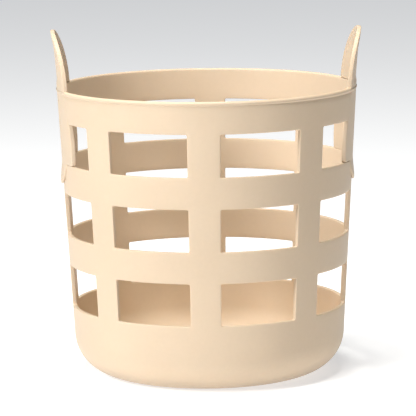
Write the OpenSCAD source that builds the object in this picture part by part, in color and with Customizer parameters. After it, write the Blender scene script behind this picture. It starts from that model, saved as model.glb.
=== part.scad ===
// Round storage basket with a window lattice and two riveted strap handles.
// +Z is up, the origin is the middle of the underside, the handles stand close to +X and -X.

/* [Basket] */
// Outside diameter at the rim
rim_d = 175; // [150:1:200]
// Height of the basket without its handles
body_h = 169; // [165:1:180]
// How much the outside radius grows for each mm of height
taper = 0.055; // [0.03:0.005:0.08]
// Wall thickness
wall = 2.4; // [2:0.1:3]
// Outside radius of the rounded bottom corner
corner_r = 24; // [16:1:28]
// Height of the raised bead round the rim
bead_h = 2.2; // [1.6:0.2:3]
// How far the bead stands out of the wall
bead_out = 0.3; // [0.3:0.1:0.6]

/* [Windows] */
// Number of upright bars, one of them behind each handle
bar_count = 8; // [8:4:12]
// Width of each bar, in degrees round the basket
bar_angle = 12.4; // [8:0.2:16]
// Height of each window
window_h = 24.5; // [20:0.5:26]
// Bottom edge of the lowest row of windows
first_row_z = 40.5; // [38:0.5:42]
// Height step from one row of windows to the next
row_pitch = 42.7; // [42:0.1:44]

/* [Handles] */
// How far both handles sit round from the middle of their bars, in degrees
handle_turn = 2.8; // [0:0.2:4]
// Height of the ear above the rim
ear_h = 33; // [25:1:40]
// Width of the ear at the rim
ear_w = 56; // [48:1:60]
// How far the tip of the ear leans out
ear_flare = 1.2; // [0:0.2:3]
// Width of the strap where it crosses the top row of windows
strap_w = 64; // [62:1:68]
// Width of the tongue that laps over the upper band
tongue_w = 44; // [30:1:50]
// Length of the tongue below the top row of windows
tongue_l = 13.5; // [10:0.5:16]
// How far the end of the tongue stands out of the wall
tongue_kick = 1.5; // [1.4:0.1:2]
// Depth of the grip panel sunk in the outside of the ear
panel_depth = 0.5; // [0.2:0.1:0.8]

/* [Rivets] */
// Shank diameter
rivet_d = 5; // [4:0.5:6]
// Diameter of the domed head inside the basket
rivet_head_d = 9; // [8:0.5:11]
// Distance between the two rivets of one handle
rivet_gap = 26; // [20:1:32]

/* [Hidden] */

cream = [0.96, 0.88, 0.76];
cream_shade = [0.93, 0.84, 0.71];

row_count = 3;
round_fn = 96;                        // facets that a full turn of the basket is drawn with
bore_fn = 48;
rim_r = rim_d / 2;
foot_r = rim_r - taper * body_h;      // wall line carried down to the ground
slope = atan(taper);
corner_x = foot_r + taper * corner_r * (1 - sin(slope)) - corner_r * cos(slope);
foot_w = 6;                           // width of the flat ring that the basket rests on
foot_recess = 0.8;                    // the floor inside that ring is lifted this much
arc_steps = 10;                       // steps along a rounded corner
arch_step = 7.5;                      // degrees between the points of the ear's arch
arch_power = 0.9;                     // below 1 the arch is fuller than an ellipse
end_step = 10;                        // degrees between the points of the tongue's round end
strap_steps = 6;

top_row_z = first_row_z + (row_count - 1) * row_pitch;
top_row_end = top_row_z + window_h;
band_top_z = top_row_z;               // top edge of the band under the top row
pitch_angle = 360 / bar_count;

lap = wall / 2;                       // thickness of the strap where it laps over a band
gap = 0.15;                           // clearance between a handle and the basket
strap_foot = band_top_z + gap;        // the strap is as thick as the wall between these two heights
strap_top = top_row_end - gap;
ear_foot = body_h + gap;              // the ear is as thick as the wall from here up
tongue_end = band_top_z - tongue_l;
tongue_ramp = 10;                     // height over which the tongue leaves the wall
tongue_shoulder = band_top_z - 1;     // the tongue's sides run straight down to here
ear_top = body_h + ear_h;
panel_border = 4.5;
panel_foot = 2;                       // the grip panel starts this far above the rim
strap_bow = 1.2;                      // the strap's sides bulge this much
rivet_z = (body_h + top_row_end) / 2;
rivet_angle = asin(rivet_gap / 2 / (rim_r - taper * (body_h - rivet_z)));
rivet_clearance = 0.1;
rivet_head_h = 1.3;
rivet_crown = 3;                      // the dome's flat top is this much narrower than the head
far = 2 * rim_r;                      // longer than any cut needs

// Outside radius of the plain wall at height z
function wall_r(z) = foot_r + taper * z;
// Outside radius of the ear, which leans out above the rim
function ear_r(z) = wall_r(z) + ear_flare * pow(max(0, z - body_h) / ear_h, 2);
// How far a round surface of radius r drops away at a distance across from its middle
function sagitta(r, across) = r - sqrt(r * r - across * across);

// Points on an arc about (cx, cz)
function arc(cx, cz, r, from, to, steps) =
    [for (i = [0:steps]) let (a = from + (to - from) * i / steps) [cx + r * cos(a), cz + r * sin(a)]];

// Half section of the basket: outside from the foot up, over the rim, inside down to the floor
function body_section() = concat(
    [[0, foot_recess], [corner_x - foot_w - foot_recess, foot_recess], [corner_x - foot_w, 0]],
    arc(corner_x, corner_r, corner_r, -90, -slope, arc_steps),
    [[wall_r(body_h - bead_h), body_h - bead_h],
     [wall_r(body_h - bead_h) + bead_out, body_h - bead_h + bead_out]],
    arc(rim_r - wall / 2 + bead_out / 2, body_h - wall / 2 - bead_out / 2,
        wall / 2 + bead_out / 2, 0, 180, arc_steps),
    arc(corner_x, corner_r, corner_r - wall, -slope, -90, arc_steps),
    [[0, wall]]);

// Half section of a handle: ear, lap over the rim band, strap across the window, tongue
function handle_section(g) = concat(
    [for (i = [0:arc_steps]) let (z = ear_top - ear_h * i / arc_steps) [ear_r(z) + 2 * g, z + g]],
    [[wall_r(band_top_z) + 2 * g, band_top_z],
     [wall_r(band_top_z - tongue_ramp) + tongue_kick + 2 * g, band_top_z - tongue_ramp],
     [wall_r(tongue_end) + tongue_kick + 2 * g, tongue_end - g],
     [wall_r(tongue_end) + tongue_kick - lap - g, tongue_end - g],
     [wall_r(band_top_z - tongue_ramp) + tongue_kick - lap - g, band_top_z - tongue_ramp],
     [wall_r(band_top_z) - lap - g, strap_foot],
     [wall_r(band_top_z) - wall - g, strap_foot],
     [wall_r(top_row_end) - wall - g, strap_top],
     [wall_r(top_row_end) - lap - g, strap_top],
     [wall_r(body_h) - lap - g, ear_foot],
     [wall_r(body_h) - wall - g, ear_foot]],
    [for (i = [1:arc_steps]) let (z = body_h + ear_h * i / arc_steps) [ear_r(z) - wall - g, z + g]]);

// Outline of a handle as seen from its own side: [across, up], grown by g all round
function ear_arch(half_w, foot_z, rise) =
    [for (a = [0:arch_step:180])
        [half_w * sign(cos(a)) * pow(abs(cos(a)), arch_power), foot_z + rise * pow(sin(a), arch_power)]];
function strap_side(g) =
    [for (i = [0:strap_steps]) let (f = i / strap_steps)
        [strap_w / 2 + strap_bow * sin(180 * f) + g,
         strap_foot + (strap_top - strap_foot) * f]];
function tongue_end_arc(g) =
    [for (a = [-90:end_step:0])
        [(tongue_w / 2 + g) * cos(a), tongue_shoulder - (tongue_shoulder - tongue_end + g) * abs(sin(a))]];
function right_half(g) =
    concat(tongue_end_arc(g), [[tongue_w / 2 + g, strap_foot]], strap_side(g));
function mirrored(points) = [for (i = [len(points) - 1:-1:0]) [-points[i][0], points[i][1]]];
function handle_outline(g) =
    concat(right_half(g), ear_arch(ear_w / 2 + g, ear_foot, ear_top - ear_foot + g), mirrored(right_half(g)));

// A turned solid, with its seam at the back and so away from both handles
module solid_of(section) {
    rotate([0, 0, 90]) rotate_extrude($fn = round_fn) polygon(section);
}

// Extrudes an outline drawn as [across, up] along +X, from the middle of the basket outwards
module along_x(outline) {
    translate([rim_r / 2, 0, 0]) rotate([90, 0, 90]) linear_extrude(far / 2) polygon(outline);
}

// One window: the space between two bars, with its middle at the given angle
module window(middle, width, z) {
    half = width / 2;
    inner = rim_r / 2;
    translate([0, 0, z])
        linear_extrude(window_h)
            polygon([[inner * cos(middle - half), inner * sin(middle - half)],
                     [far * cos(middle - half), far * sin(middle - half)],
                     [far * cos(middle + half), far * sin(middle + half)],
                     [inner * cos(middle + half), inner * sin(middle + half)]]);
}

module window_rows() {
    open = pitch_angle - bar_angle;
    for (row = [0:row_count - 2])
        for (i = [0:bar_count - 1])
            window((i + 0.5) * pitch_angle, open, first_row_z + row * row_pitch);
    // the handle straps take the place of a bar in the top row
    for (side = [0, 180]) {
        window(side, open + pitch_angle, top_row_z);
        for (i = [1:bar_count / 2 - 2])
            window(side + (i + 0.5) * pitch_angle, open, top_row_z);
    }
}

// Puts the children at both rivets of the +X handle: origin on the wall's outside, +Z square out of it
module at_rivets() {
    for (side = [-1, 1])
        rotate([0, 0, side * rivet_angle])
            translate([wall_r(rivet_z), 0, rivet_z])
                rotate([0, 90 + slope, 0])
                    children();
}

module rivet_bores() {
    at_rivets() cylinder(d = rivet_d + 2 * rivet_clearance, h = 4 * wall, center = true, $fn = bore_fn);
}

module handle_seat() {
    intersection() {
        solid_of(handle_section(gap));
        along_x(handle_outline(gap));
    }
}

module basket_body() {
    color(cream)
        difference() {
            difference() {
                solid_of(body_section());
                window_rows();
            }
            for (side = [0, 180])
                rotate([0, 0, side + handle_turn]) {
                    handle_seat();
                    rivet_bores();
                }
        }
}

module grip_panel() {
    intersection() {
        solid_of([for (z = [body_h, ear_top]) each [[ear_r(z) - panel_depth, z], [far, z]]]);
        along_x(ear_arch(ear_w / 2 - panel_border, body_h + panel_foot, ear_h - panel_foot - panel_border));
    }
}

module handle() {
    color(cream_shade)
        difference() {
            intersection() {
                solid_of(handle_section(0));
                along_x(handle_outline(0));
            }
            grip_panel();
            rivet_bores();
        }
}

module handle_right() {
    rotate([0, 0, handle_turn]) handle();
}

module handle_left() {
    rotate([0, 0, 180 + handle_turn]) handle();
}

// Domed head inside the basket, shank through wall and handle, tip flush with the outside
module rivet() {
    seat = -wall - sagitta(rim_r, rivet_head_d / 2);
    tip = -sagitta(rim_r, rivet_d / 2);
    translate([0, 0, seat - rivet_head_h])
        cylinder(d1 = rivet_head_d - rivet_crown, d2 = rivet_head_d, h = rivet_head_h, $fn = bore_fn);
    translate([0, 0, seat - rivet_head_h / 2])
        cylinder(d = rivet_d, h = tip - seat + rivet_head_h / 2, $fn = bore_fn);
}

module handle_rivets() {
    color(cream)
        for (side = [0, 180])
            rotate([0, 0, side + handle_turn]) at_rivets() rivet();
}

basket_body();
handle_right();
handle_left();
handle_rivets();
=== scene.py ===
"""Looks of the round lattice storage basket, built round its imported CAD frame. Metres, +Z up."""

import math

import bmesh
import bpy
from mathutils import Matrix, Vector


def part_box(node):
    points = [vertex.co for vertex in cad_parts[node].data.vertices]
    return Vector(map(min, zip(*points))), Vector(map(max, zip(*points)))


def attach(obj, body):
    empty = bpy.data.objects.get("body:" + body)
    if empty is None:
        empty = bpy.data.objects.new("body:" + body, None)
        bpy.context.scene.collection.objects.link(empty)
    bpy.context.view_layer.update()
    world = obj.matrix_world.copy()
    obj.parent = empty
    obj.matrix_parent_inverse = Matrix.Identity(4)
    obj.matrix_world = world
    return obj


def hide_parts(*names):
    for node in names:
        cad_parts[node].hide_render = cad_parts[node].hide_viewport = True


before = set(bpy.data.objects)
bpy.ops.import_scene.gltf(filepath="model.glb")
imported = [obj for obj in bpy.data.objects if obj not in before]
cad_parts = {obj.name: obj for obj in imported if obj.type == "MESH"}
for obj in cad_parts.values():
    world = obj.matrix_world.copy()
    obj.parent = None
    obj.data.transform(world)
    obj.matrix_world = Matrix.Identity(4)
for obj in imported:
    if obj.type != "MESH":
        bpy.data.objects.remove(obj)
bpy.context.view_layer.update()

# ---------------------------------------------------------------- driving dimensions
MM = 0.001

_, BODY_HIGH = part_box("basket_body")
HANDLE_LOW, HANDLE_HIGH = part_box("handle_right")

BODY_H = BODY_HIGH.z
BEAD_OUT = 0.3 * MM                  # the rim bead stands this far out of the wall
BEAD_H = 2.2 * MM
RIM_NECK = 0.25 * MM                 # shallow neck that sets the bead off from the wall
RIM_R = BODY_HIGH.x - BEAD_OUT       # outside of the wall at the rim
TAPER = 0.055                        # growth of the outside radius per unit of height
WALL = 2.4 * MM
CORNER_R = 24 * MM                   # outside radius of the rounded bottom
FOOT_W = 6 * MM                      # flat ring that the basket rests on
FOOT_RECESS = 0.8 * MM               # the floor inside that ring is lifted this much
GATE_R, GATE_H = 3 * MM, 0.4 * MM    # moulding gate, sunk in the middle of the underside
FOOT_R = RIM_R - TAPER * BODY_H      # the wall's line carried down to the ground

BAR_COUNT = 8
PITCH = 2 * math.pi / BAR_COUNT
HALF_BAR = math.radians(6.2)
WINDOW_H = 24.5 * MM
FIRST_ROW = 40.5 * MM
ROW_STEP = 42.7 * MM
ROWS = 3
TOP_ROW = FIRST_ROW + (ROWS - 1) * ROW_STEP
TOP_ROW_END = TOP_ROW + WINDOW_H
BAND_H = ROW_STEP - WINDOW_H

EDGE_R = 0.45 * MM                   # rounding of every moulded edge
WINDOW_CORNER = 0.9 * MM             # rounding of the window corners, seen from the front

HANDLE_TURN = math.radians(2.8)      # both handles sit this far round from the middle of their bars
EAR_H = HANDLE_HIGH.z - BODY_H
EAR_W = 56 * MM
EAR_FLARE = 1.2 * MM
STRAP_W = 64 * MM
STRAP_BOW = 1.2 * MM
TONGUE_W = 44 * MM
TONGUE_END = HANDLE_LOW.z
TONGUE_RAMP = 10 * MM
TONGUE_KICK = 1.5 * MM
TONGUE_SHOULDER = TOP_ROW - 1 * MM   # the tongue's sides run straight down to here
LAP = WALL / 2                       # thickness of the strap where it laps over a band
GAP = 0.08 * MM                      # seam between a handle and the basket
STRAP_FOOT = TOP_ROW + GAP           # the strap is as thick as the wall between these two heights
STRAP_TOP = TOP_ROW_END - GAP
PANEL_DEPTH = 0.5 * MM               # grip panel sunk in the outside of the ear
PANEL_FOOT = BODY_H + 2 * MM         # the grip panel starts here
PANEL_FADE = 1.2 * MM                # height over which its lower end sinks in
EAR_BLEND = 12 * MM                  # height over which the panel's border widens, about the rim
ARCH_POWER = 0.9                     # below 1 the ear's arch is fuller than an ellipse
STRAP_CORNER = 1.2 * MM              # rounding where the strap meets the tongue
SHOULDER_R, ARCH_FOOT_R = 6 * MM, 12 * MM   # rounding where the strap runs into the ear
SPINE_LOW = TONGUE_END + 14 * MM     # ends of the line up the middle that the handle's faces close on
SPINE_HIGH = HANDLE_HIGH.z - 22 * MM

RIVET_D = 5 * MM
RIVET_HEAD_D = 9 * MM
RIVET_HEAD_H = 1.3 * MM
RIVET_GAP = 26 * MM
RIVET_Z = (BODY_H + TOP_ROW_END) / 2
RIVET_BORE_D = RIVET_D + 0.2 * MM    # the rivet has 0.1 mm clearance all round

ARC = 4                              # segments in each small edge rounding
SIDE_STEPS = 14                      # segments along a window's long side
POST_STEPS = 8                       # segments up a window's short side
CORNER_STEPS = 6                     # segments round a window corner, an even number
TURN_STEPS = 18                      # segments along the bottom corner and the tongue's round end
ARCH_STEPS = 30                      # segments in half of the ear's arch
OUTLINE_STEP = 1.6 * MM              # longest stretch between points of a handle's outline
SHARP_ANGLE = math.radians(35)


def wall_r(z):
    """Outside radius of the plain wall at height z."""
    return FOOT_R + TAPER * z


def ear_r(z):
    """Outside radius of a handle: flush with the wall, then leaning out above the rim."""
    above = max(0.0, z - BODY_H) / EAR_H
    below = min(1.0, max(0.0, TOP_ROW - z) / TONGUE_RAMP)
    return wall_r(z) + EAR_FLARE * above ** 2 + TONGUE_KICK * below


def sagitta(radius, across):
    """How far a round surface drops away at a distance across from its middle."""
    return radius - math.sqrt(radius ** 2 - across ** 2)


def smooth_step(x):
    """Rises smoothly from 0 to 1 while x does."""
    x = min(1.0, max(0.0, x))
    return x * x * (3 - 2 * x)


def lerp(a, b, t):
    """The value t of the way from a to b."""
    return a + (b - a) * t


# ---------------------------------------------------------------- mesh helpers
def mesh_object(name, verts, faces):
    """A new mesh object with doubled points merged and all faces turned outwards."""
    bm = bmesh.new()
    made = [bm.verts.new(v) for v in verts]
    for face in faces:
        if len(set(face)) > 2:
            bm.faces.new([made[i] for i in face])
    bmesh.ops.remove_doubles(bm, verts=bm.verts, dist=1e-6)
    bmesh.ops.dissolve_degenerate(bm, edges=bm.edges, dist=1e-7)
    bmesh.ops.recalc_face_normals(bm, faces=bm.faces)
    mesh = bpy.data.meshes.new(name)
    bm.to_mesh(mesh)
    bm.free()
    obj = bpy.data.objects.new(name, mesh)
    bpy.context.scene.collection.objects.link(obj)
    return obj


def ring_faces(rings, closed=True):
    """Quads between neighbouring rings of equal length; a ring is a list of point indices."""
    faces = []
    for a, b in zip(rings, rings[1:]):
        count = len(a) if closed else len(a) - 1
        for i in range(count):
            j = (i + 1) % len(a)
            faces.append((a[i], a[j], b[j], b[i]))
    return faces


def shade(obj):
    """Smooth shading that keeps the real edges sharp."""
    for polygon in obj.data.polygons:
        polygon.use_smooth = True
    obj.data.set_sharp_from_angle(angle=SHARP_ANGLE)


def cut(obj, cutters):
    """Takes the cutters out of obj with exact booleans, then deletes the cutters."""
    for cutter in cutters:
        modifier = obj.modifiers.new("cut", "BOOLEAN")
        modifier.operation = "DIFFERENCE"
        modifier.solver = "EXACT"
        modifier.object = cutter
    bpy.context.view_layer.update()
    graph = bpy.context.evaluated_depsgraph_get()
    result = bpy.data.meshes.new_from_object(obj.evaluated_get(graph))
    obj.modifiers.clear()
    old = obj.data
    obj.data = result
    bpy.data.meshes.remove(old)
    for cutter in cutters:
        bpy.data.objects.remove(cutter)


def fillet(points, radii, steps=5):
    """An open 2D line through the points, with an arc of the given radius at each inner point."""
    out = [points[0]]
    for before, here, after, radius in zip(points, points[1:], points[2:], radii):
        a, b, c = Vector(before), Vector(here), Vector(after)
        to_a, to_c = (a - b).normalized(), (c - b).normalized()
        half = to_a.angle(to_c) / 2
        reach = radius / math.tan(half) if half < math.pi / 2 - 1e-4 else 0
        if radius <= 0 or reach <= 0:
            out.append(tuple(b))
            continue
        start, end = b + to_a * reach, b + to_c * reach
        centre = b + (to_a + to_c).normalized() * (radius / math.sin(half))
        for i in range(steps + 1):
            arm = (start - centre).lerp(end - centre, i / steps)
            out.append(tuple(centre + arm.normalized() * radius))
    out.append(points[-1])
    return out


# ---------------------------------------------------------------- basket body
def polar(angle, radius, z):
    """The point at an angle round the basket, a radius and a height."""
    return (radius * math.cos(angle), radius * math.sin(angle), z)


def corner_marks(end, corner):
    """Places between the end of a straight side and the block's corner, as fractions."""
    half = CORNER_STEPS // 2
    return [lerp(end, corner, j / half) for j in range(1, half + 1)]


def window_outline(angles, posts, grow):
    """Points round a window, grown by grow, as (angle, z), counter-clockwise from the lower left."""
    mid_r = wall_r((posts[0] + posts[-1]) / 2)
    radius = WINDOW_CORNER + grow
    turn = radius / mid_r
    a0, a1 = angles[0] - WINDOW_CORNER / mid_r, angles[-1] + WINDOW_CORNER / mid_r
    z0, z1 = posts[0] - WINDOW_CORNER - grow, posts[-1] + WINDOW_CORNER + grow
    a0, a1 = a0 - grow / mid_r, a1 + grow / mid_r

    def corner(angle, z, start):
        quarter = [start + math.pi / 2 * j / CORNER_STEPS for j in range(1, CORNER_STEPS)]
        return [(angle + turn * math.cos(q), z + radius * math.sin(q)) for q in quarter]

    points = [(a, z0) for a in angles]
    points += corner(a1 - turn, z0 + radius, -math.pi / 2)
    points += [(a1, z) for z in posts]
    points += corner(a1 - turn, z1 - radius, 0)
    points += [(a, z1) for a in reversed(angles)]
    points += corner(a0 + turn, z1 - radius, math.pi / 2)
    points += [(a0, z) for z in reversed(posts)]
    points += corner(a0 + turn, z0 + radius, math.pi)
    return points


def block_outline(angles, posts, block):
    """The points of a block's border that answer to those of its window's outline."""
    b0, b1, z0, z1 = block

    def corner(angle_end, angle, z_end, z, from_side):
        across = [(a, z) for a in corner_marks(angle_end, angle)]
        upward = [(angle, y) for y in corner_marks(z_end, z)]
        if from_side:
            return across + upward[-2::-1]
        return upward + across[-2::-1]

    points = [(a, z0) for a in angles]
    points += corner(angles[-1], b1, posts[0], z0, True)
    points += [(b1, z) for z in posts]
    points += corner(angles[-1], b1, posts[-1], z1, False)
    points += [(a, z1) for a in reversed(angles)]
    points += corner(angles[0], b0, posts[-1], z1, True)
    points += [(b0, z) for z in reversed(posts)]
    points += corner(angles[0], b0, posts[0], z0, False)
    return points


def add_block(verts, faces, angles, posts, block):
    """One window with the wall round it: outer face, rounded window edge, inner face."""
    border = block_outline(angles, posts, block)
    rings = [(border, 0.0)]
    start = window_outline(angles, posts, EDGE_R)
    between = [[(lerp(p[0], q[0], t), lerp(p[1], q[1], t)) for p, q in zip(border, start)]
               for t in (0.35, 0.7)]
    rings += [(ring, 0.0) for ring in between]
    for i in range(ARC + 1):
        turn = math.pi / 2 * i / ARC
        rings.append((window_outline(angles, posts, EDGE_R * (1 - math.sin(turn))),
                      EDGE_R * (1 - math.cos(turn))))
    for i in range(ARC, -1, -1):
        turn = math.pi / 2 * i / ARC
        rings.append((window_outline(angles, posts, EDGE_R * (1 - math.sin(turn))),
                      WALL - EDGE_R * (1 - math.cos(turn))))
    rings += [(ring, WALL) for ring in reversed(between)]
    rings.append((border, WALL))
    indexed = []
    for ring, depth in rings:
        indexed.append(range(len(verts), len(verts) + len(ring)))
        verts += [polar(a, wall_r(z) - depth, z) for a, z in ring]
    faces += ring_faces([list(r) for r in indexed])


def window_angles(middle):
    """Angles of the points along the long sides of the window whose middle is given."""
    mid_r = wall_r(BODY_H / 2)
    half = PITCH / 2 - HALF_BAR - WINDOW_CORNER / mid_r
    return [middle - half + 2 * half * i / SIDE_STEPS for i in range(SIDE_STEPS + 1)]


def block_angles(middle):
    """All the angles along a block's border, from one bar's middle up to the next bar's middle."""
    inside = window_angles(middle)
    low = list(reversed(corner_marks(inside[0], middle - PITCH / 2)))
    high = corner_marks(inside[-1], middle + PITCH / 2)
    return low + inside + high


def arc_points(cx, cz, radius, start, end, steps):
    """Points on an arc about (cx, cz)."""
    return [(cx + radius * math.cos(lerp(start, end, i / steps)),
             cz + radius * math.sin(lerp(start, end, i / steps))) for i in range(steps + 1)]


def rim_profile(base):
    """From the outside at height base up over the beaded rim and down the inside to base."""
    top_r = (WALL + BEAD_OUT) / 2
    step = BODY_H - BEAD_H
    points = [(wall_r(base), base), (wall_r(lerp(base, step, 0.5)), lerp(base, step, 0.5))]
    points += [(wall_r(step - 6 * RIM_NECK), step - 6 * RIM_NECK),
               (wall_r(step) - 0.8 * RIM_NECK, step - 3.5 * RIM_NECK),
               (wall_r(step) - RIM_NECK, step - 1.5 * RIM_NECK), (wall_r(step), step)]
    points += [(wall_r(step) + BEAD_OUT * 0.5, step + BEAD_OUT * 0.35),
               (wall_r(step) + BEAD_OUT, step + BEAD_OUT)]
    points += arc_points(RIM_R + BEAD_OUT - top_r, BODY_H - top_r, top_r, 0, math.pi, 12)
    middle = lerp(base, BODY_H, 0.5)
    points += [(wall_r(middle) - WALL, middle), (wall_r(base) - WALL, base)]
    return points


def base_profile(top):
    """From the inside wall at height top down over the floor, then the underside back up to top."""
    slope = math.atan(TAPER)
    corner_x = (FOOT_R + TAPER * CORNER_R * (1 - math.sin(slope)) - CORNER_R * math.cos(slope))
    halfway = lerp(top, CORNER_R, 0.5)
    inside = [(wall_r(top) - WALL, top), (wall_r(halfway) - WALL, halfway)]
    inside += arc_points(corner_x, CORNER_R, CORNER_R - WALL, -slope, -math.pi / 2, TURN_STEPS)
    inside += [(corner_x * f, WALL) for f in (0.8, 0.6, 0.4, 0.2, 0.08)]
    ring_in = corner_x - FOOT_W
    under = [(GATE_R * 0.5, FOOT_RECESS + GATE_H), (GATE_R * 0.9, FOOT_RECESS + GATE_H),
             (GATE_R, FOOT_RECESS), (ring_in * 0.4, FOOT_RECESS), (ring_in * 0.7, FOOT_RECESS),
             (ring_in - 2 * FOOT_RECESS, FOOT_RECESS), (ring_in - FOOT_RECESS, FOOT_RECESS * 0.8),
             (ring_in - FOOT_RECESS * 0.3, FOOT_RECESS * 0.2), (ring_in, 0),
             (lerp(ring_in, corner_x, 0.5), 0)]
    outside = arc_points(corner_x, CORNER_R, CORNER_R, -math.pi / 2, -slope, TURN_STEPS)
    outside += [(wall_r(halfway), halfway), (wall_r(top), top)]
    return inside, under + outside


def revolve(verts, faces, profile, angles):
    """Adds a closed turned surface to verts and faces, and returns its rings."""
    rings = []
    for radius, z in profile:
        rings.append(list(range(len(verts), len(verts) + len(angles))))
        verts += [polar(a, radius, z) for a in angles]
    faces += ring_faces(rings)
    return rings


def cap(verts, faces, ring, z):
    """Closes a ring with a fan to the axis."""
    verts.append((0, 0, z))
    middle = len(verts) - 1
    faces += [(ring[i], ring[(i + 1) % len(ring)], middle) for i in range(len(ring))]


def build_basket_mesh():
    """The basket in one mesh: rows of window blocks, the rim above them and the base below."""
    verts, faces = [], []
    row_base = [FIRST_ROW + i * ROW_STEP for i in range(ROWS)]
    middles = [(i + 0.5) * PITCH for i in range(BAR_COUNT)]
    margin = BAND_H / 2
    for z in row_base:
        posts = [lerp(z + WINDOW_CORNER, z + WINDOW_H - WINDOW_CORNER, i / POST_STEPS)
                 for i in range(POST_STEPS + 1)]
        blocks = [(m, window_angles(m), m - PITCH / 2, m + PITCH / 2) for m in middles]
        if z == row_base[-1]:      # the handle straps take the place of two bars in the top row
            blocks = [b for b in blocks if abs(math.cos(b[0])) < math.cos(math.pi / 4)]
            for side in (0, math.pi):
                low, high = side - PITCH / 2, side + PITCH / 2
                wide = sorted(set(round(a, 9) for a in block_angles(low) + block_angles(high)))
                first, last = window_angles(low)[0] - 1e-6, window_angles(high)[-1] + 1e-6
                keep = [a for a in wide if first < a < last]
                blocks.append((side, keep, side - PITCH, side + PITCH))
        for _, angles, b0, b1 in blocks:
            add_block(verts, faces, angles, posts, (b0, b1, z - margin, z + WINDOW_H + margin))
    around = sorted(set(round(a % (2 * math.pi), 7) for m in middles for a in block_angles(m)[:-1]))
    top = row_base[-1] + WINDOW_H + margin
    bottom = row_base[0] - margin
    revolve(verts, faces, rim_profile(top), around)
    inside, outside = base_profile(bottom)
    cap(verts, faces, revolve(verts, faces, inside, around)[-1], inside[-1][1])
    cap(verts, faces, revolve(verts, faces, outside, around)[0], outside[0][1])
    return mesh_object("basket_shell", verts, faces)


# ---------------------------------------------------------------- handles
def handle_outline(grow):
    """Right-hand half of a handle's outline from bottom middle to top middle, as (across, up)."""
    tongue = TONGUE_W / 2 + grow
    depth = TONGUE_SHOULDER - TONGUE_END + grow
    low = [(tongue * math.sin(turn), TONGUE_SHOULDER - depth * math.cos(turn))
           for turn in (math.pi / 2 * i / TURN_STEPS for i in range(TURN_STEPS + 1))]
    side = [(STRAP_W / 2 + STRAP_BOW * math.sin(math.pi * f) + grow, lerp(STRAP_FOOT, STRAP_TOP, f))
            for f in (i / 10 for i in range(11))]
    ear = EAR_W / 2 + grow
    rise = EAR_H + grow
    arch = [(ear * abs(math.cos(turn)) ** ARCH_POWER, BODY_H + rise * abs(math.sin(turn)) ** ARCH_POWER)
            for turn in (math.pi / 2 * i / ARCH_STEPS for i in range(ARCH_STEPS))] + [(0, BODY_H + rise)]
    corner = STRAP_CORNER - grow
    lower = fillet([low[-2], (tongue, STRAP_FOOT), side[0], side[1]], [corner, corner])
    upper = fillet([side[-2], side[-1], arch[0], arch[1]], [SHOULDER_R, ARCH_FOOT_R], 6)
    return dense(low[:-2] + lower[:-1] + side[1:-2] + upper[:-1] + arch[1:], OUTLINE_STEP)


def dense(points, step):
    """The same line with no stretch longer than step."""
    out = [points[0]]
    for a, b in zip(points, points[1:]):
        length = math.dist(a, b)
        if length < 1e-7:
            continue
        parts = max(1, math.ceil(length / step))
        out += [(lerp(a[0], b[0], i / parts), lerp(a[1], b[1], i / parts)) for i in range(1, parts + 1)]
    return out


def inward_normals(points):
    """Unit vectors pointing into a closed counter-clockwise outline."""
    count = len(points)
    normals = []
    for i, here in enumerate(points):
        before, after = Vector(points[i - 1]), Vector(points[(i + 1) % count])
        along = (after - before).normalized()
        normals.append(Vector((-along.y, along.x)))
    return normals


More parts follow.
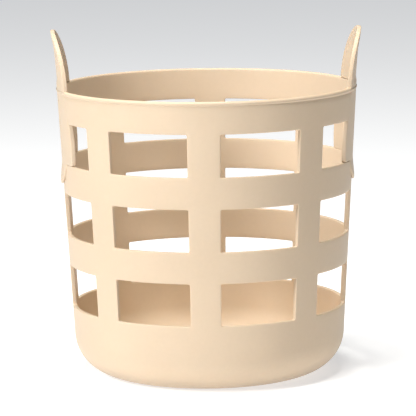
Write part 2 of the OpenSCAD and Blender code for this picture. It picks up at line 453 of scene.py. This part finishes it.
def build_handle_mesh(name, grow=0.0, rounding=EDGE_R, panel=True):
    """A strap handle at +X, as thick as the wall everywhere, with rounded edges."""
    right = handle_outline(grow)
    left = [(-x, z) for x, z in reversed(right[1:-1])]
    outline = right + left
    normals = inward_normals(outline)
    total = len(outline)
    lengths = [0.0]
    for a, b in zip(right, right[1:]):
        lengths.append(lengths[-1] + math.dist(a, b))
    spine = [lerp(SPINE_LOW, SPINE_HIGH, value / lengths[-1]) for value in lengths]
    spine += list(reversed(spine[1:-1]))

    def inset(distance_low, distance_high):
        """The outline moved inwards, further on the ear than lower down."""
        points = []
        for p, n in zip(outline, normals):
            share = smooth_step((p[1] - BODY_H + EAR_BLEND / 2) / EAR_BLEND)
            points.append(Vector(p) + n * lerp(distance_low, distance_high, share))
        return points

    # rings inwards from the edge, in mm: how far in on the strap, and on the ear, where the panel's
    # side sinks between panel_edge and panel_edge + panel_side
    panel_edge, panel_side = 4.3, 0.6
    face_rings = [(inset(rounding, rounding), 0.0)]
    for low, high in ((1.1, 3.4), (1.4, panel_edge), (1.6, 4.5), (1.8, 4.7), (2.0, 4.9), (2.4, 5.8)):
        sunk = smooth_step((high - panel_edge) / panel_side)
        face_rings.append((inset(low * MM, high * MM), sunk))
    last = face_rings[-1][0]
    for t in (0.15, 0.3, 0.45, 0.6, 0.75, 0.88, 1.0):
        ring = [Vector((lerp(p.x, 0, t), lerp(p.y, s, t))) for p, s in zip(last, spine)]
        face_rings.append((ring, 1.0))

    def place(p, depth):
        """Lays a point of the flat outline on the handle's round surface, at a depth below it."""
        radius = ear_r(p.y) + 2 * grow - depth
        return (math.sqrt(max(radius ** 2 - p.x ** 2, 0)), p.x, p.y)

    def panel_sink(p, sunk):
        """How deep the grip panel is sunk at a point."""
        return PANEL_DEPTH * sunk * smooth_step((p.y - PANEL_FOOT) / PANEL_FADE) if panel else 0.0

    thickness = WALL + 3 * grow      # the outside is already 2 * grow out, so this goes in by grow
    verts, rings = [], []

    def add_ring(points):
        rings.append(list(range(len(verts), len(verts) + total)))
        verts.extend(points)

    for points, sunk in reversed(face_rings):
        add_ring([place(p, panel_sink(p, sunk)) for p in points])
    for i in range(1, ARC + 1):
        turn = math.pi / 2 * i / ARC
        points = inset(rounding * (1 - math.sin(turn)), rounding * (1 - math.sin(turn)))
        add_ring([place(p, rounding * (1 - math.cos(turn))) for p in points])
    for i in range(ARC, 0, -1):
        turn = math.pi / 2 * i / ARC
        points = inset(rounding * (1 - math.sin(turn)), rounding * (1 - math.sin(turn)))
        add_ring([place(p, thickness - rounding * (1 - math.cos(turn))) for p in points])
    for points, _ in face_rings:
        add_ring([place(p, thickness) for p in points])
    faces = ring_faces(rings)
    return mesh_object(name, verts, faces)


def lap_cutters(grow):
    """The two stretches of basket band that a strap laps over, as curved blocks at +X."""
    reach = math.radians(34)         # goes well past the strap's sides
    steps = 40
    blocks = []
    rim_low, rim_high = STRAP_TOP, BODY_H + GAP
    band_low, band_high = TONGUE_END - 3 * MM, STRAP_FOOT
    for low, high in ((rim_low, rim_high), (band_low, band_high)):
        levels = [low, high]
        if low < TOP_ROW:            # the tongue bends away from the wall at these two heights
            levels[1:1] = [TOP_ROW - TONGUE_RAMP, TOP_ROW]
        section = [(ear_r(z) - LAP - grow, z) for z in levels]
        section += [(ear_r(z) - 3 * WALL, z) for z in reversed(levels)]
        verts, rings = [], []
        for i in range(steps + 1):
            angle = lerp(-reach, reach, i / steps)
            rings.append(list(range(len(verts), len(verts) + len(section))))
            verts += [polar(angle, r, z) for r, z in section]
        faces = ring_faces(rings) + [tuple(rings[0]), tuple(rings[-1])]
        blocks.append(mesh_object("lap_cutter", verts, faces))
    return blocks


def turned(name, profile, side, steps=48):
    """A turned piece standing square on the wall at a rivet's place, from (height, radius) points."""
    turn, slope = side * math.asin(RIVET_GAP / 2 / wall_r(RIVET_Z)), math.atan(TAPER)
    out = Vector((math.cos(turn) * math.cos(slope), math.sin(turn) * math.cos(slope), -math.sin(slope)))
    across = Vector((-math.sin(turn), math.cos(turn), 0))
    up = out.cross(across)
    place = Vector(polar(turn, wall_r(RIVET_Z), RIVET_Z))
    verts, rings = [], []
    for height, radius in profile:
        rings.append(list(range(len(verts), len(verts) + steps)))
        for i in range(steps):
            angle = 2 * math.pi * i / steps
            arm = across * math.cos(angle) + up * math.sin(angle)
            verts.append(place + out * height + arm * radius)
    faces = ring_faces(rings) + [tuple(rings[0]), tuple(rings[-1])]
    return mesh_object(name, verts, faces)


def rivet_bores():
    """Cutters for the two rivet holes of the handle at +X."""
    profile = [(-2 * WALL, RIVET_BORE_D / 2), (2 * WALL, RIVET_BORE_D / 2)]
    return [turned("bore_cutter", profile, side) for side in (-1, 1)]


def build_rivet_mesh(name, side):
    """A push rivet: domed head inside the basket, shank, and a flush rounded tip outside."""
    head_r, shank_r = RIVET_HEAD_D / 2, RIVET_D / 2
    seat = -WALL - sagitta(wall_r(RIVET_Z) - WALL, head_r)
    tip = -sagitta(wall_r(RIVET_Z), shank_r)
    crown = seat - RIVET_HEAD_H
    dimple_h, edge = 0.3 * MM, 0.4 * MM
    dimple = [(crown + dimple_h, head_r * 0.1), (crown + dimple_h, head_r * 0.2), (crown, head_r * 0.32)]
    dome = [(seat - RIVET_HEAD_H * math.cos(a), head_r * (0.4 + 0.6 * math.sin(a)))
            for a in (math.pi / 2 * i / 8 for i in range(9))]
    shank = [(seat, shank_r), (tip - edge, shank_r), (tip - 0.3 * edge, shank_r - 0.3 * edge),
             (tip, shank_r - edge), (tip, shank_r * 0.4)]
    return turned(name, dimple + dome + shank, side)


def turn_to_handle(obj, behind):
    """Turns a mesh made at +X to the right handle's place, or to the left handle's behind it."""
    obj.data.transform(Matrix.Rotation(HANDLE_TURN + (math.pi if behind else 0), 4, "Z"))
    return obj


def build_handle(name):
    """One strap handle at +X, thinned where it laps over the bands, with its rivet holes."""
    handle = build_handle_mesh(name)
    cut(handle, lap_cutters(0.0) + rivet_bores())
    return handle


def seat_cutters():
    """What the basket's bands lose to make room for both handles and their rivets."""
    cutters = []
    for behind in (False, True):
        seat = build_handle_mesh("seat_cutter", grow=GAP, rounding=0.1 * MM, panel=False)
        cut(seat, lap_cutters(GAP))
        cutters += [turn_to_handle(piece, behind) for piece in [seat] + rivet_bores()]
    return cutters


# ---------------------------------------------------------------- materials
def node_material(name):
    """A new material, its node tree and its Principled shader."""
    material = bpy.data.materials.new(name)
    material.use_nodes = True
    tree = material.node_tree
    return material, tree, tree.nodes["Principled BSDF"]


def add(tree, kind, **inputs):
    """A new node with the named inputs set; an underscore in a name stands for a space."""
    node = tree.nodes.new(kind)
    for key, value in inputs.items():
        node.inputs[key.replace("_", " ")].default_value = value
    return node


def cream_plastic(name, tint, grain_scale):
    """Satin moulded plastic: faint flow clouding, fine moulded grain, uneven gloss."""
    material, tree, surface = node_material(name)
    place = tree.nodes.new("ShaderNodeTexCoord")
    cloud = add(tree, "ShaderNodeTexNoise", Scale=14.0, Detail=3.0, Roughness=0.55)
    speck = add(tree, "ShaderNodeTexNoise", Scale=420.0, Detail=2.0, Roughness=0.6)
    grain = add(tree, "ShaderNodeTexNoise", Scale=grain_scale, Detail=2.0, Roughness=0.5)
    for texture in (cloud, speck, grain):
        tree.links.new(place.outputs["Object"], texture.inputs["Vector"])

    tone = tree.nodes.new("ShaderNodeValToRGB")
    tone.color_ramp.elements[0].position, tone.color_ramp.elements[1].position = 0.35, 0.68
    tone.color_ramp.elements[0].color = (*(c * 0.965 for c in tint), 1)
    tone.color_ramp.elements[1].color = (*(min(1, c * 1.02) for c in tint), 1)
    tree.links.new(cloud.outputs["Fac"], tone.inputs["Fac"])
    fleck = tree.nodes.new("ShaderNodeMix")
    fleck.data_type, fleck.blend_type = "RGBA", "MULTIPLY"
    fleck.inputs["Factor"].default_value = 0.05
    tree.links.new(tone.outputs["Color"], fleck.inputs["A"])
    tree.links.new(speck.outputs["Fac"], fleck.inputs["B"])
    tree.links.new(fleck.outputs["Result"], surface.inputs["Base Color"])

    gloss = add(tree, "ShaderNodeMapRange", To_Min=0.42, To_Max=0.56)
    tree.links.new(cloud.outputs["Fac"], gloss.inputs["Value"])
    tree.links.new(gloss.outputs["Result"], surface.inputs["Roughness"])

    bump = add(tree, "ShaderNodeBump", Strength=0.12, Distance=0.00005)
    tree.links.new(grain.outputs["Fac"], bump.inputs["Height"])
    tree.links.new(bump.outputs["Normal"], surface.inputs["Normal"])

    surface.inputs["Specular IOR Level"].default_value = 0.28
    surface.inputs["Subsurface Weight"].default_value = 0.12
    surface.inputs["Subsurface Radius"].default_value = (1.0, 0.55, 0.3)
    surface.inputs["Subsurface Scale"].default_value = 0.002
    return material


def floor_material():
    """Plain pale floor: matt, faintly uneven, with an even glow that keeps its far end pale too."""
    material, tree, surface = node_material("studio_floor")
    place = tree.nodes.new("ShaderNodeTexCoord")
    cloud = add(tree, "ShaderNodeTexNoise", Scale=3.0, Detail=2.0)
    tree.links.new(place.outputs["Object"], cloud.inputs["Vector"])
    tone = tree.nodes.new("ShaderNodeValToRGB")
    tone.color_ramp.elements[0].color = (0.65, 0.65, 0.65, 1)
    tone.color_ramp.elements[1].color = (0.67, 0.67, 0.67, 1)
    tree.links.new(cloud.outputs["Fac"], tone.inputs["Fac"])
    tree.links.new(tone.outputs["Color"], surface.inputs["Base Color"])
    surface.inputs["Roughness"].default_value = 0.8
    surface.inputs["Specular IOR Level"].default_value = 0.1
    surface.inputs["Emission Color"].default_value = (0.95, 0.97, 1, 1)
    surface.inputs["Emission Strength"].default_value = 0.55
    return material


# ---------------------------------------------------------------- studio
def build_floor():
    """A square floor that the basket stands on."""
    half = 6.0
    corners = [(-half, -half, 0), (half, -half, 0), (half, half, 0), (-half, half, 0)]
    floor = mesh_object("floor", corners, [(0, 1, 2, 3)])
    floor.data.materials.append(floor_material())


def area_light(name, place, target, size, power, colour=(1, 1, 1)):
    """A round soft light at place that faces target."""
    light = bpy.data.lights.new(name, "AREA")
    light.shape = "DISK"
    light.size = size
    light.energy = power
    light.color = colour
    obj = bpy.data.objects.new(name, light)
    obj.location = place
    obj.rotation_euler = (Vector(target) - Vector(place)).to_track_quat("-Z", "Y").to_euler()
    bpy.context.scene.collection.objects.link(obj)


def build_lights(target):
    """A large key light from the left of the camera, a soft light overhead, and a dim room."""
    area_light("key_left", (-1.45, -1.3, 1.15), target, size=0.7, power=41)
    area_light("top", (-0.08, -0.25, 1.5), target, size=0.6, power=27, colour=(1.0, 0.98, 0.93))
    world = bpy.data.worlds.new("studio")
    world.use_nodes = True
    background = world.node_tree.nodes["Background"]
    background.inputs["Color"].default_value = (1.0, 1.0, 1.0, 1)
    background.inputs["Strength"].default_value = 0.04
    bpy.context.scene.world = world


def build_camera(target):
    """The camera at the photograph's angle, with its small roll."""
    distance, lens, sensor = 1.706, 251, 36     # metres, then millimetres of lens and sensor
    lift, turn, roll = math.radians(9.0), math.radians(1.35), math.radians(0.7)
    data = bpy.data.cameras.new("camera")
    data.lens, data.sensor_width = lens, sensor
    camera = bpy.data.objects.new("camera", data)
    back = Vector((math.sin(turn) * math.cos(lift), -math.cos(turn) * math.cos(lift), math.sin(lift)))
    camera.location = target + back * distance
    camera.rotation_euler = back.to_track_quat("Z", "Y").to_euler()
    camera.rotation_euler.rotate_axis("Z", -roll)
    bpy.context.scene.collection.objects.link(camera)
    bpy.context.scene.camera = camera


# ---------------------------------------------------------------- assembly
def finish_piece(obj, material, slot, *nodes):
    shade(obj)
    obj.data.materials.clear()
    obj.data.materials.append(material)
    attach(obj, "root")
    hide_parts(*nodes)


CREAM = (0.64, 0.507, 0.368)
body_plastic = cream_plastic("cream_body_plastic", CREAM, 2600.0)
handle_plastic = cream_plastic("cream_handle_plastic", CREAM, 2600.0)
rivet_plastic = cream_plastic("cream_rivet_plastic", CREAM, 3200.0)

basket = build_basket_mesh()
cut(basket, seat_cutters())
finish_piece(basket, body_plastic, "body_plastic", "basket_body")

for side_name, behind in (("right", False), ("left", True)):
    handle = turn_to_handle(build_handle(f"handle_{side_name}_piece"), behind)
    finish_piece(handle, handle_plastic, "handle_plastic", f"handle_{side_name}")

for handle_name, behind in (("right", False), ("left", True)):
    for side in (-1, 1):
        rivet = build_rivet_mesh(f"rivet_{handle_name}_{'front' if side < 0 else 'back'}", side)
        turn_to_handle(rivet, behind)
        finish_piece(rivet, rivet_plastic, "rivet_plastic", "handle_rivets")

TARGET = Vector((0, 0, 0.0957))
build_floor()
build_lights(TARGET)
build_camera(TARGET)
bpy.context.scene.view_settings.view_transform = "Standard"
